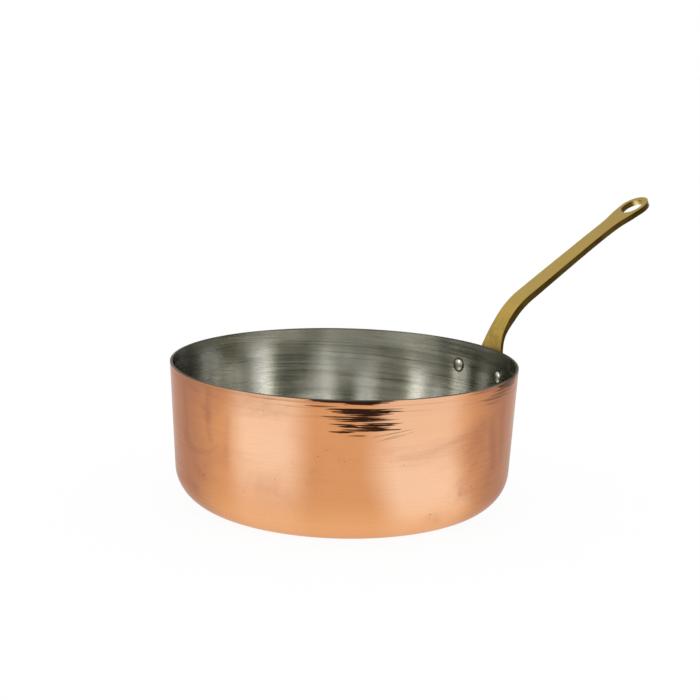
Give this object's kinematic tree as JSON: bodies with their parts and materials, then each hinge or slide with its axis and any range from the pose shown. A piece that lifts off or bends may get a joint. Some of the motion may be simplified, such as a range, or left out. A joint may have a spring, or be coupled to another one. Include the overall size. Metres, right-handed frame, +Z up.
{
  "type": "saucepan",
  "caption": "Copper saucepan with a flat base, a slightly flared wall, a tin lining and a riveted, upswept cast brass handle that ends in a hanging eye.",
  "frame": {"origin": "centre of the flat base, on the pan's axis", "axes": "+Z up along the pan's axis, +X along the handle, away from the pan"},
  "size_m": [0.449, 0.28, 0.2343],
  "materials": {
    "copper": "polished copper with fine circumferential brushing",
    "tin": "hand-wiped tin, satin",
    "cast_brass": "satin cast brass with brown patina",
    "tinned_rivet": "tinned inside, bare copper outside"
  },
  "bodies": {
    "root": {"copper_body": "copper", "tin_lining": "tin", "handle": "cast_brass", "rivet_upper_left": "tinned_rivet", "rivet_upper_right": "tinned_rivet", "rivet_lower": "tinned_rivet"}
  },
  "joints": []
}
